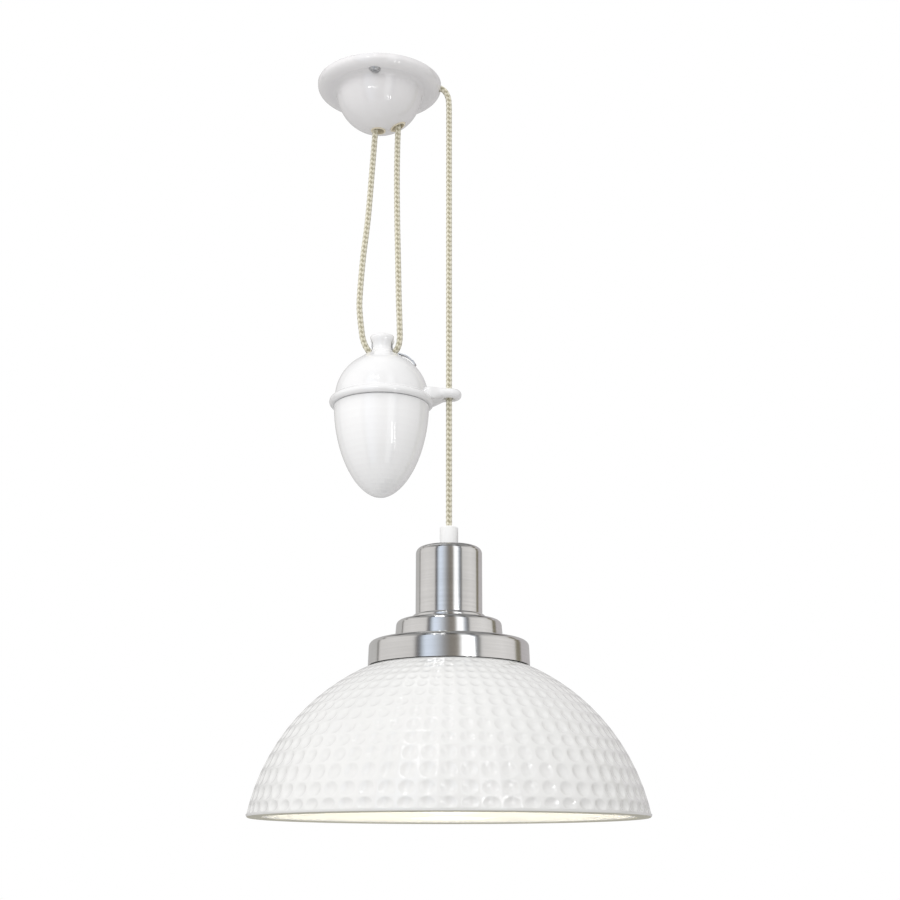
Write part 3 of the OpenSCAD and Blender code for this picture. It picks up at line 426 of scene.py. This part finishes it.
def shade_section():
    """Everything but the dimples, as (radius, height) points: from the top of the dimples over the
    crown and its hole, down the inside, round the rim and up to the lowest row."""
    inner_r = SHADE_R - SHADE_WALL
    inner_foot = math.degrees(math.asin((RIM_Z + 14.0 - SHADE_Z) / inner_r))
    inner_top = math.degrees(math.acos(CROWN_R / inner_r))
    outer_top = math.degrees(math.acos(CROWN_R / SHADE_R))
    points = arc(0, SHADE_Z, SHADE_R, COLLAR_ANGLE, outer_top, 5)
    points += [(SHADE_HOLE_R + 0.6, CROWN_TOP), (SHADE_HOLE_R, CROWN_TOP - 0.6),
               (SHADE_HOLE_R, CROWN_UNDER + 0.6), (SHADE_HOLE_R + 0.6, CROWN_UNDER)]
    points += arc(0, SHADE_Z, inner_r, inner_top, inner_foot, 22)
    points += [(140.2, RIM_Z + 6.5), (138.4, RIM_Z + 2.4), (138.9, RIM_Z + 1.0), (140.2, RIM_Z + 0.15),
               (141.8, RIM_Z), (145.5, RIM_Z)]
    points += arc(147.9, RIM_Z + 2.2, 2.2, -90, 8, 6)
    points += [(SHADE_R * math.cos(math.radians(PLAIN_BAND)) - 0.02,
                SHADE_Z + SHADE_R * math.sin(math.radians(PLAIN_BAND)) - 0.15)]
    return points


def dimple_column(mesh):
    """One column of dimples with the wedge of shade behind it, from rim to crown."""
    pitch = 360.0 / COLUMNS
    edges = [PLAIN_BAND] + [(a + b) / 2 for a, b in zip(ROWS, ROWS[1:])] + [COLLAR_ANGLE]
    around = [k * 2 * math.pi / CELL_SIDES for k in range(CELL_SIDES)]
    corner = CELL_SIDES // 8
    foot = head = None
    for low, high in zip(edges, edges[1:]):
        centre = (low + high) / 2
        wide = SCOOP_WIDTH * pitch / 2
        tall = min(SCOOP_HEIGHT * (high - low) / 2, 1.15 * wide * math.cos(math.radians(centre)))
        depth = SCOOP_DEPTH * SHADE_R * 2 * math.radians(wide) * math.cos(math.radians(centre))
        depth *= 1 - FAINTER * max(0.0, centre - FAINT_FROM) / (COLLAR_ANGLE - FAINT_FROM)
        half = (high - low) / 2
        border = []
        for t in around:
            c, s = math.cos(t), math.sin(t)
            k = 1 / max(abs(c), abs(s))
            border.append(mesh.verts.new(on_shade(pitch / 2 * c * k, centre + half * s * k, SHADE_R)))
        rings = [border]
        for share, sunk in SCOOP[:-1]:
            across, up, r = wide * share, tall * share, SHADE_R - depth * sunk
            rings.append([mesh.verts.new(on_shade(across * math.cos(t), centre + up * math.sin(t), r))
                          for t in around])
        for outer, inner in zip(rings, rings[1:]):
            for k in range(CELL_SIDES):
                j = (k + 1) % CELL_SIDES
                mesh.faces.new((outer[k], outer[j], inner[j], inner[k]))
        bottom = mesh.verts.new(on_shade(0, centre, SHADE_R - depth))
        for k in range(CELL_SIDES):
            mesh.faces.new((rings[-1][k], rings[-1][(k + 1) % CELL_SIDES], bottom))
        lower = [border[(5 * corner + k) % CELL_SIDES] for k in range(2 * corner + 1)]
        upper = [border[3 * corner - k] for k in range(2 * corner + 1)]
        foot = foot or lower
        head = upper
    angles = [math.degrees(math.atan2(v.co.x - LAMP_X * MM, -v.co.y)) for v in head]
    last = head
    for r, z in shade_section()[1:]:
        row = [mesh.verts.new(Vector((LAMP_X + r * math.sin(a), -r * math.cos(a), z)) * MM)
               for a in map(math.radians, angles)]
        for k in range(len(row) - 1):
            mesh.faces.new((last[k], last[k + 1], row[k + 1], row[k]))
        last = row
    for k in range(len(last) - 1):
        mesh.faces.new((last[k], last[k + 1], foot[k + 1], foot[k]))


def make_shade(material, rim_foot_paint):
    mesh = bpy.data.meshes.new("shade_dimpled")
    column = bmesh.new()
    dimple_column(column)
    column.to_mesh(mesh)
    column.free()
    shade = bpy.data.objects.new("shade_dimpled", mesh)
    bpy.context.scene.collection.objects.link(shade)
    pick(shade)
    bpy.ops.object.mode_set(mode="EDIT")
    bpy.ops.mesh.select_all(action="SELECT")
    # every other column is a copy of the first
    bpy.ops.mesh.spin(steps=COLUMNS - 1, dupli=True, angle=2 * math.pi * (COLUMNS - 1) / COLUMNS,
                      center=(LAMP_X * MM, 0, 0), axis=(0, 0, 1))
    bpy.ops.mesh.select_all(action="SELECT")
    bpy.ops.mesh.remove_doubles(threshold=0.00001)
    bpy.ops.mesh.normals_make_consistent(inside=False)
    bpy.ops.object.mode_set(mode="OBJECT")
    bpy.ops.object.shade_smooth_by_angle(angle=math.radians(50))
    finish_piece(shade, material, "lamp", "ceramic", "shade")
    # the foot of the rim is unglazed, and its dark olive grey is painted shade under the rim
    shade.data.materials.append(rim_foot_paint)
    for face in shade.data.polygons:
        if face.center.z < (RIM_Z + SHADED_RIM_FOOT) * MM:
            face.material_index = 1


# ---------------------------------------------------------------- guide arm

ARM_Z = -277.1         # middle of the guide arm's web
ARM_THICK = 7.3
ARM_EYE_R = 9.97
ARM_BORE_R = 3.96
ARM_SIDES = 64
ARM_EDGE_R = 0.46 * ARM_THICK
BORE_EDGE_R = 1.3
ROOT_WIDER = 1.9       # how much wider the web's root is than its flare's last pair of points
DEEPER_FROM = (52.5, 50.0, 48.0, 46.0)  # places along X from which the web deepens once more
DEEPER = 1.07
DEEPER_ABOUT = ARM_Z + 5.0
# Where the web's edge runs from the eye back into the bead: place along X, and half its width there
ARM_FLARE = [(56.2, 10.0), (53.6, 10.3), (51.2, 10.9), (49.0, 11.8), (47.0, 13.0), (45.0, 14.2), (42.5, 15.0)]
ARM_ROOT_X = 34.0
CUT_X = 46.4           # where the plain arm is cut off the cap


def make_weight_cap(material):
    """The weight's cap with its guide arm. The plain arm is cut off at the bead, and its place is taken
    by a flat web that flares from the cord's eye into the bead, with a fully rounded edge."""
    cap = bpy.data.objects.new("weight_cap", nodes["counterweight_cap"].data.copy())
    cap.data.name = "weight_cap"
    bpy.context.scene.collection.objects.link(cap)
    pick(cap)
    bpy.ops.object.mode_set(mode="EDIT")
    bpy.ops.mesh.select_all(action="SELECT")
    bpy.ops.mesh.remove_doubles(threshold=0.000002)
    bpy.ops.mesh.select_all(action="SELECT")
    bpy.ops.mesh.bisect(plane_co=(CUT_X * MM, 0, 0), plane_no=(1, 0, 0), use_fill=True, clear_outer=True)
    bpy.ops.object.mode_set(mode="OBJECT")

    pick_none()
    low = (ARM_Z - ARM_THICK / 2) * MM
    eye = Vector((LAMP_X * MM, 0, low))
    bpy.ops.mesh.primitive_circle_add(vertices=ARM_SIDES, radius=ARM_EYE_R * MM, location=eye)
    arm = bpy.context.object
    arm.name = arm.data.name = "guide_arm_web"
    bpy.ops.object.transform_apply(location=True, rotation=True, scale=True)
    bpy.ops.object.mode_set(mode="EDIT")
    # draw the back half of the ring out along the flare, a pair of points at a time
    for step, (x, half) in enumerate(ARM_FLARE, 1):
        t = 2 * math.pi * step / ARM_SIDES
        back, side = ARM_EYE_R * math.sin(t), ARM_EYE_R * math.cos(t)
        there = eye.x - back * MM
        select_where(arm, lambda p: abs(p.x - there) < 1e-6 and abs(abs(p.y) - side * MM) < 1e-6)
        bpy.ops.transform.translate(value=(x * MM - there, 0, 0))
        bpy.ops.transform.resize(value=(1, half / side, 1), center_override=(x * MM, 0, low))
    inside = ARM_EYE_R * math.cos(2 * math.pi * len(ARM_FLARE) / ARM_SIDES) * MM - 1e-6
    select_where(arm, lambda p: p.x < eye.x and abs(p.y) < inside)
    root = (ARM_ROOT_X * MM, 0, low)
    bpy.ops.transform.resize(value=(0, ROOT_WIDER, 1), center_override=root)
    bpy.ops.mesh.primitive_circle_add(vertices=ARM_SIDES, radius=ARM_BORE_R * MM, location=eye)
    bpy.ops.mesh.select_all(action="SELECT")
    bpy.ops.mesh.bridge_edge_loops()
    bpy.ops.mesh.select_all(action="SELECT")
    bpy.ops.mesh.extrude_region_move(TRANSFORM_OT_translate={"value": (0, 0, ARM_THICK * MM)})
    bpy.ops.mesh.select_all(action="SELECT")
    bpy.ops.mesh.normals_make_consistent(inside=False)
    bpy.ops.mesh.select_mode(type="EDGE")
    for outline, radius in ((True, ARM_EDGE_R), (False, BORE_EDGE_R)):
        select_rim(arm, eye, outline)
        bpy.ops.mesh.bevel(offset=radius * MM, segments=6, affect="EDGES", clamp_overlap=False)
    bpy.ops.mesh.select_mode(type="VERT")
    # it deepens downwards to take in the bead
    for x in DEEPER_FROM:
        select_where(arm, lambda p: p.x < x * MM)
        bpy.ops.transform.resize(value=(1, 1, DEEPER), center_override=(x * MM, 0, DEEPER_ABOUT * MM))
    bpy.ops.object.mode_set(mode="OBJECT")
    bpy.ops.object.select_all(action="DESELECT")
    bpy.context.view_layer.objects.active = cap
    arm.select_set(True)
    cap.select_set(True)
    bpy.ops.object.join()
    pick(cap)
    bpy.ops.object.shade_smooth_by_angle(angle=math.radians(40))
    bpy.ops.object.modifier_add(type="WEIGHTED_NORMAL")
    cap.modifiers[-1].keep_sharp = True
    bpy.ops.object.modifier_apply(modifier=cap.modifiers[-1].name)
    finish_piece(cap, material, "counterweight", "ceramic", "counterweight_cap")


def select_rim(arm, eye, outline):
    """Selects the level edges of the web, where its top and underside meet its upright walls: those of
    its outline, or those of its bore."""
    bpy.ops.mesh.select_all(action="DESELECT")
    mesh = bmesh.from_edit_mesh(arm.data)
    mesh.normal_update()
    for edge in mesh.edges:
        level = sorted(abs(face.normal.z) for face in edge.link_faces)
        far = max((v.co - eye).to_2d().length for v in edge.verts) > (ARM_BORE_R + 0.5) * MM
        if level[0] < 0.3 and level[-1] > 0.95 and far == outline:
            edge.select_set(True)
    mesh.select_flush_mode()
    bmesh.update_edit_mesh(arm.data)


def select_where(piece, wanted):
    """Selects the points of a piece in edit mode that a rule on their place picks."""
    bpy.ops.mesh.select_all(action="DESELECT")
    mesh = bmesh.from_edit_mesh(piece.data)
    for vertex in mesh.verts:
        vertex.select = wanted(vertex.co)
    mesh.select_flush(True)
    bmesh.update_edit_mesh(piece.data)


def pick(piece):
    bpy.ops.object.select_all(action="DESELECT")
    bpy.context.view_layer.objects.active = piece
    piece.select_set(True)


def finish_piece(piece, material, body, slot, *replaced):
    """Gives a new piece its material, puts it on the body it moves with and hides the parts it replaces."""
    piece.data.materials.clear()
    piece.data.materials.append(material)
    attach(piece, body)
    if replaced:
        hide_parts(*replaced)


# ---------------------------------------------------------------- studio

FLOOR_Z = -2.4
STUDIO_X = 0.03        # the studio stands round this place, between the lamp and the weight
STUDIO_CENTRE = (STUDIO_X, 0.0, -0.35)


def hide_from_all_but_gloss(card):
    """Only metal and glaze show a card of the studio; it neither lights nor shades anything."""
    card.visible_camera = card.visible_diffuse = card.visible_shadow = False
    card.visible_transmission = card.visible_volume_scatter = False


def glow(name, colour, strength):
    """Plain light from a card; the colour is a value or a socket made by the caller."""
    f = Finish(name)
    f.tree.nodes.remove(f.shader)
    emission = f.node("ShaderNodeEmission", Color=colour, Strength=strength)
    f.put(f.out.inputs["Surface"], emission.outputs[0])
    return f


# What the turned metal reflects round the lamp, by azimuth from the front: soft panels of paper, the
# dark edges between them, a window on the left, the dim room and one bright white sheet
WALL = [(-180, (0.50, 0.49, 0.49)), (-124, (0.58, 0.57, 0.56)), (-121.5, (0.20, 0.19, 0.18)),
        (-119, (0.20, 0.19, 0.18)), (-116, (0.74, 0.72, 0.71)), (-85, (0.82, 0.80, 0.79)),
        (-50, (0.76, 0.74, 0.73)), (-45, (0.17, 0.16, 0.16)), (-41, (0.17, 0.17, 0.18)),
        (-37, (0.58, 0.64, 0.72)), (-32, (0.88, 0.97, 1.12)), (-24, (0.82, 0.90, 1.04)),
        (-15, (0.63, 0.67, 0.74)), (-6, (0.36, 0.36, 0.37)), (2, (0.25, 0.23, 0.205)),
        (12, (0.27, 0.245, 0.215)), (16, (0.55, 0.53, 0.51)), (19, (1.35, 1.36, 1.38)),
        (31, (1.35, 1.36, 1.38)), (34, (0.55, 0.58, 0.64)), (38, (0.38, 0.40, 0.44)),
        (41, (0.14, 0.14, 0.14)), (44, (0.16, 0.16, 0.15)), (47, (0.74, 0.72, 0.71)),
        (80, (0.86, 0.84, 0.83)), (106, (0.76, 0.74, 0.73)), (110, (0.25, 0.23, 0.17)),
        (120, (0.23, 0.21, 0.16)), (124, (0.56, 0.53, 0.54)), (180, (0.50, 0.49, 0.49))]


def studio_wall(reach=2.3, low=-2.3, high=3.0):
    """The wall round the lamp, turned once round its axis, dimmer towards the ceiling."""
    bpy.ops.mesh.primitive_cylinder_add(vertices=120, radius=reach, depth=high - low, end_fill_type="NOTHING",
                                        location=(STUDIO_X, 0.0, (low + high) / 2))
    wall = bpy.context.object
    wall.name = "studio_wall"
    bpy.ops.object.transform_apply(location=True, rotation=True, scale=True)
    f = glow("studio_wall_light", (1, 1, 1, 1), 1.0)
    place = f.node("ShaderNodeSeparateXYZ", Vector=f.place(shift=(-STUDIO_X, 0.0, 0.0)))
    round_about = f.math("ARCTAN2", place.outputs["X"], f.math("MULTIPLY", place.outputs["Y"], -1.0))
    share = f.math("ADD", f.math("DIVIDE", round_about, 2 * math.pi), 0.5)
    colour = f.ramp(share, [((azimuth + 180) / 360, tone) for azimuth, tone in WALL])
    up = f.node("ShaderNodeMapRange", Value=place.outputs["Z"])
    for key, value in (("From Min", 1.1), ("From Max", 2.3), ("To Min", 1.0), ("To Max", 0.35)):
        up.inputs[key].default_value = value
    emission = next(n for n in f.tree.nodes if n.type == "EMISSION")
    f.put(emission.inputs["Color"], colour)
    f.put(emission.inputs["Strength"], up.outputs["Result"])
    wall.data.materials.append(f.material)
    hide_from_all_but_gloss(wall)

    bpy.ops.object.select_all(action="DESELECT")
    bpy.ops.mesh.primitive_circle_add(vertices=60, radius=reach, fill_type="NGON",
                                      location=(STUDIO_X, 0.0, high))
    ceiling = bpy.context.object
    ceiling.name = "studio_ceiling"
    bpy.ops.object.transform_apply(location=True, rotation=True, scale=True)
    ceiling.data.materials.append(glow("studio_ceiling_light", (0.30, 0.30, 0.30, 1.0), 1.0).material)
    hide_from_all_but_gloss(ceiling)


def bright_bar(name, start, end, width, strength):
    """A thin bright bar between two points, facing the lamp: a tube or the edge of a window."""
    start, end = Vector(start), Vector(end)
    across = (end - start).cross(Vector(STUDIO_CENTRE) - (start + end) / 2).normalized() * width / 2
    mesh = bpy.data.meshes.new(name)
    mesh.from_pydata([start - across, start + across, end + across, end - across], [], [(0, 1, 2, 3)])
    bar = bpy.data.objects.new(name, mesh)
    bpy.context.scene.collection.objects.link(bar)
    mesh.materials.append(glow(name, (1.0, 1.0, 1.0, 1.0), strength).material)
    hide_from_all_but_gloss(bar)


def lamp_panel(name, place, size, power):
    """A soft white light aimed at the studio's centre, which no gloss shows."""
    data = bpy.data.lights.new(name, "AREA")
    data.shape = "RECTANGLE"
    data.size, data.size_y = size
    data.energy = power
    panel = bpy.data.objects.new(name, data)
    panel.location = place
    panel.rotation_euler = (Vector(STUDIO_CENTRE) - Vector(place)).to_track_quat("-Z", "Y").to_euler()
    panel.visible_camera = panel.visible_glossy = False
    bpy.context.scene.collection.objects.link(panel)


def make_studio():
    scene = bpy.context.scene
    scene.view_settings.view_transform = "Standard"
    world = bpy.data.worlds.new("studio")
    scene.world = world
    world.use_nodes = True
    tree = world.node_tree
    tree.nodes.clear()
    path = tree.nodes.new("ShaderNodeLightPath")
    soft = tree.nodes.new("ShaderNodeBackground")
    soft.inputs["Color"].default_value = (1.0, 0.995, 0.985, 1.0)
    soft.inputs["Strength"].default_value = 0.80
    white = tree.nodes.new("ShaderNodeBackground")
    white.inputs["Color"].default_value = (1.0, 1.0, 1.0, 1.0)
    white.inputs["Strength"].default_value = 1.0
    seen = tree.nodes.new("ShaderNodeMath")
    seen.operation = "MAXIMUM"
    tree.links.new(path.outputs["Is Camera Ray"], seen.inputs[0])
    tree.links.new(path.outputs["Is Transmission Ray"], seen.inputs[1])
    also = tree.nodes.new("ShaderNodeMath")
    also.operation = "MAXIMUM"
    tree.links.new(seen.outputs[0], also.inputs[0])
    tree.links.new(path.outputs["Is Glossy Ray"], also.inputs[1])
    mix = tree.nodes.new("ShaderNodeMixShader")
    tree.links.new(also.outputs[0], mix.inputs[0])
    tree.links.new(soft.outputs[0], mix.inputs[1])
    tree.links.new(white.outputs[0], mix.inputs[2])
    out = tree.nodes.new("ShaderNodeOutputWorld")
    tree.links.new(mix.outputs[0], out.inputs["Surface"])

    pick_none()
    bpy.ops.mesh.primitive_plane_add(size=14.0, location=(0.0, 0.0, FLOOR_Z))
    floor = bpy.context.object
    floor.name = "studio_floor"
    paint = Finish("pale_floor")
    tone = paint.ramp(paint.noise(1.5, 2.0), [(0.3, (0.80, 0.80, 0.80)), (0.7, (0.84, 0.84, 0.84))])
    paint.set(Base_Color=tone, Roughness=0.7)
    floor.data.materials.append(paint.material)

    pick_none()
    studio_wall()
    # the bar and the two window edges that rose and egg show, and two tubes over the shade
    bright_bar("bar_left", (-0.144, -0.263, -0.068), (-0.022, -0.299, -0.085), 0.009, 16.0)
    bright_bar("window_edge_inner", (0.303, -0.552, -0.366), (0.350, -0.524, -0.582), 0.018, 14.0)
    bright_bar("window_edge_outer", (0.373, -0.507, -0.370), (0.432, -0.459, -0.580), 0.014, 12.0)
    bright_bar("tube_left", (-0.247, -0.63, 0.34), (-0.325, -1.019, 0.34), 0.050, 5.5)
    bright_bar("tube_right", (-0.079, -0.65, 0.34), (-0.115, -1.063, 0.34), 0.036, 5.5)

    lamp_panel("key_left", (-0.85, -1.89, 0.62), (1.6, 1.4), 14.4)
    lamp_panel("overhead_front", (-0.45, -1.04, 1.64), (1.0, 0.8), 15.0)


def pick_none():
    if bpy.context.mode != "OBJECT":
        bpy.ops.object.mode_set(mode="OBJECT")
    bpy.ops.object.select_all(action="DESELECT")


# ---------------------------------------------------------------- assembly

place_camera()
textile = braided_textile("braided_cord_textile")
make_cords(textile)

# The cap, the egg and the rose share one white glaze. The egg's tone is painted lighter and the cap's and the
# rose's darker: painted light and shade for how the light falls on each.
shade_glaze = glaze("white_shade_glaze", [(0.775, 0.775, 0.77), (0.80, 0.80, 0.795)])
cap_glaze_painted_darker = glaze("white_cap_glaze", [(0.82, 0.82, 0.828), (0.85, 0.85, 0.858)])
weight_glaze_painted_lighter = glaze("white_weight_glaze", [(0.885, 0.885, 0.893), (0.91, 0.91, 0.918)])
# the rim's unglazed foot, painted a dark olive grey as shade under the rim
unglazed_rim_painted_shade = moulded("unglazed_rim_with_painted_shade", (0.50, 0.485, 0.41), (0.75, 0.9), 0.00006)
rose_glaze_painted_darker = glaze("white_rose_glaze", [(0.765, 0.755, 0.765), (0.80, 0.79, 0.80)])
turned_alloy = spun_metal("spun_aluminium", (0.80, 0.80, 0.79))
wheel_alloy = spun_metal("turned_wheel_alloy", (0.72, 0.72, 0.72), (0.2, 0.35))
steel = plated_steel("zinc_plated_steel", (0.56, 0.57, 0.58))
strip_steel = plated_steel("grey_spring_steel", (0.62, 0.62, 0.62))
brass = plated_steel("drawn_brass", (0.72, 0.53, 0.24))
moulding = moulded("white_moulded_plastic", (0.93, 0.93, 0.93))
tan_lining = moulded("tan_bush_lining", (0.80, 0.73, 0.57), (0.45, 0.6))
rubber = moulded("black_gasket_rubber", (0.03, 0.03, 0.032), (0.55, 0.75))
casting = raw_iron("sand_cast_iron")
bulb_glass = lit_glass("frosted_lit_glass")

make_shade(shade_glaze, unglazed_rim_painted_shade)
make_weight_cap(cap_glaze_painted_darker)

for material, names in (
    (rose_glaze_painted_darker, ("rose",)),
    (weight_glaze_painted_lighter, ("counterweight_egg",)),
    (weight_glaze_painted_lighter, ("holder_insert",)),
    (turned_alloy, ("lamp_cover", "step_ring", "collar")),
    (wheel_alloy, ("ceiling_wheel", "neck_wheel")),
    (steel, ("screw_cups", "fixing_screws", "ceiling_bracket", "ceiling_axle", "clamp_screws", "neck_yoke",
             "neck_axle", "stem_nut", "grip_nut")),
    (strip_steel, ("cap_strip",)),
    (brass, ("terminal_screws", "thread_shell", "centre_contact", "bulb_cap")),
    (moulding, ("clamp_saddle", "terminal_block", "cord_grip", "lampholder", "spacer_ring", "shade_ring")),
    (tan_lining, ("rose_bushes",)),
    (rubber, ("shade_gasket",)),
    (casting, ("ballast",)),
    (bulb_glass, ("bulb_glass",)),
):
    for name in names:
        for slot in nodes[name].material_slots:
            slot.material = material

make_studio()
